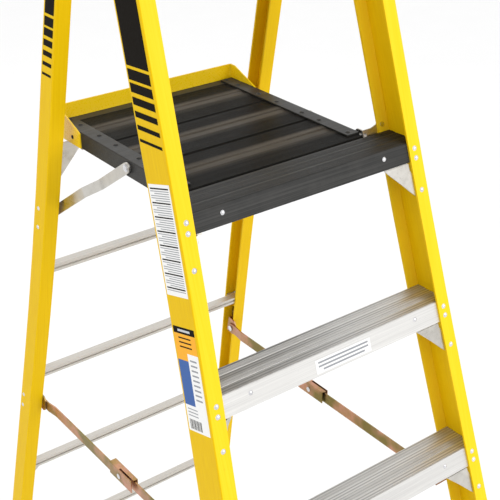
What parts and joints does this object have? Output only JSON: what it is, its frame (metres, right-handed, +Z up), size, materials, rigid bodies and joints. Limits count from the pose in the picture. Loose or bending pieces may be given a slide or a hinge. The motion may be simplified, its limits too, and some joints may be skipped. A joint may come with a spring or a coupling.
{
  "type": "platform step ladder",
  "caption": "Free-standing folding platform step ladder: flared channel side rails, ribbed steps, a hinged standing deck with toe board, support arms and folding spreaders.",
  "frame": {"origin": "on the floor, midway between left and right and between the front and rear faces of the feet", "axes": "+X to the right of a person climbing, +Y from the climbing side to the rear frame, +Z up"},
  "size_m": [0.769, 1.421, 2.4152],
  "materials": {
    "yellow_fibreglass": "semi-gloss pultruded fibreglass, safety yellow",
    "mill_aluminium": "extruded mill finish with fine anti-slip ribs",
    "black_coated_aluminium": "satin black coating on extruded aluminium",
    "yellow_paint": "gloss yellow paint on bent sheet",
    "zinc_plated_steel": "bright zinc plate",
    "yellow_zinc_steel": "yellow iridescent zinc plate",
    "rivet_steel": "bright plated rivets and pins",
    "black_plastic": "moulded, fine texture",
    "black_rubber": "moulded rubber with sole grooves"
  },
  "bodies": {
    "front_frame": {"front_rail_right": "yellow_fibreglass", "front_rail_left": "yellow_fibreglass", "step_1": "mill_aluminium", "step_2": "mill_aluminium", "step_3": "mill_aluminium", "step_4": "mill_aluminium", "step_5": "mill_aluminium", "platform_step": "black_coated_aluminium", "step_knee_braces": "zinc_plated_steel", "front_frame_rivets": "rivet_steel", "deck_hinge_bracket_right": "zinc_plated_steel", "deck_hinge_bracket_left": "zinc_plated_steel", "spreader_front_bracket_right": "yellow_zinc_steel", "spreader_front_bracket_left": "yellow_zinc_steel", "front_pivot_pins": "rivet_steel", "top_cap": "black_plastic", "top_hinge_plate_right": "zinc_plated_steel", "top_hinge_plate_left": "zinc_plated_steel", "top_hinge_bolts": "rivet_steel", "front_foot_right": "black_rubber", "front_foot_left": "black_rubber"},
    "rear_frame": {"rear_rail_right": "yellow_fibreglass", "rear_rail_left": "yellow_fibreglass", "rear_rung_1": "mill_aluminium", "rear_rung_2": "mill_aluminium", "rear_rung_3": "mill_aluminium", "rear_rung_4": "mill_aluminium", "rear_rung_5": "mill_aluminium", "rear_rung_6": "mill_aluminium", "rung_braces": "zinc_plated_steel", "rear_frame_rivets": "rivet_steel", "arm_bracket_right": "zinc_plated_steel", "arm_bracket_left": "zinc_plated_steel", "spreader_rear_bracket_right": "yellow_zinc_steel", "spreader_rear_bracket_left": "yellow_zinc_steel", "rear_pivot_pins": "rivet_steel", "rear_foot_right": "black_rubber", "rear_foot_left": "black_rubber"},
    "deck": {"deck_slat_front": "black_coated_aluminium", "deck_slat_middle": "black_coated_aluminium", "deck_slat_rear": "black_coated_aluminium", "deck_side_rail_right": "black_coated_aluminium", "deck_side_rail_left": "black_coated_aluminium", "deck_rear_rail": "black_coated_aluminium", "toe_board": "yellow_paint", "deck_rivets": "black_coated_aluminium"},
    "deck_arm_right": {"deck_arm_right": "zinc_plated_steel", "deck_arm_pin_right": "rivet_steel"},
    "spreader_front_right": {"spreader_front_link_right": "yellow_zinc_steel", "spreader_channel_right": "yellow_zinc_steel", "spreader_middle_pin_right": "rivet_steel", "spreader_channel_rivet_right": "rivet_steel"},
    "spreader_rear_right": {"spreader_rear_link_right": "yellow_zinc_steel"},
    "deck_arm_left": {"deck_arm_left": "zinc_plated_steel", "deck_arm_pin_left": "rivet_steel"},
    "spreader_front_left": {"spreader_front_link_left": "yellow_zinc_steel", "spreader_channel_left": "yellow_zinc_steel", "spreader_middle_pin_left": "rivet_steel", "spreader_channel_rivet_left": "rivet_steel"},
    "spreader_rear_left": {"spreader_rear_link_left": "yellow_zinc_steel"}
  },
  "joints": [
    {"name": "rear_frame_fold", "type": "hinge", "parent": "front_frame", "child": "rear_frame", "pos_m": [0, 0.13191, 2.3672], "axis": [-1, 0, 0], "range_deg": [0, 26]},
    {"name": "deck_fold", "type": "hinge", "parent": "front_frame", "child": "deck", "pos_m": [0, -0.07909, 1.7192], "axis": [1, 0, 0], "range_deg": [0, 65.6]},
    {"name": "deck_arm_fold_right", "type": "hinge", "parent": "rear_frame", "child": "deck_arm_right", "pos_m": [0.236, 0.32991, 1.5382], "axis": [-1, 0, 0], "range_deg": [0, 35]},
    {"name": "spreader_front_fold_right", "type": "hinge", "parent": "front_frame", "child": "spreader_front_right", "pos_m": [0.2572, -0.29609, 1.0222], "axis": [1, 0, 0], "range_deg": [0, 68.2]},
    {"name": "spreader_rear_fold_right", "type": "hinge", "parent": "rear_frame", "child": "spreader_rear_right", "pos_m": [0.2667, 0.42291, 1.0232], "axis": [-1, 0, 0], "range_deg": [0, 70]},
    {"name": "deck_arm_fold_left", "type": "hinge", "parent": "rear_frame", "child": "deck_arm_left", "pos_m": [-0.236, 0.32991, 1.5382], "axis": [-1, 0, 0], "range_deg": [0, 35]},
    {"name": "spreader_front_fold_left", "type": "hinge", "parent": "front_frame", "child": "spreader_front_left", "pos_m": [-0.2572, -0.29609, 1.0222], "axis": [1, 0, 0], "range_deg": [0, 68.2]},
    {"name": "spreader_rear_fold_left", "type": "hinge", "parent": "rear_frame", "child": "spreader_rear_left", "pos_m": [-0.2667, 0.42291, 1.0232], "axis": [-1, 0, 0], "range_deg": [0, 70]}
  ],
  "couplings": [
    {"joint": "deck_fold", "follows": "rear_frame_fold", "ratio": 2.5231},
    {"joint": "deck_arm_fold_right", "follows": "rear_frame_fold", "ratio": 1.3462},
    {"joint": "spreader_front_fold_right", "follows": "rear_frame_fold", "ratio": 2.6231},
    {"joint": "spreader_rear_fold_right", "follows": "rear_frame_fold", "ratio": 2.6923},
    {"joint": "deck_arm_fold_left", "follows": "rear_frame_fold", "ratio": 1.3462},
    {"joint": "spreader_front_fold_left", "follows": "rear_frame_fold", "ratio": 2.6231},
    {"joint": "spreader_rear_fold_left", "follows": "rear_frame_fold", "ratio": 2.6923}
  ]
}
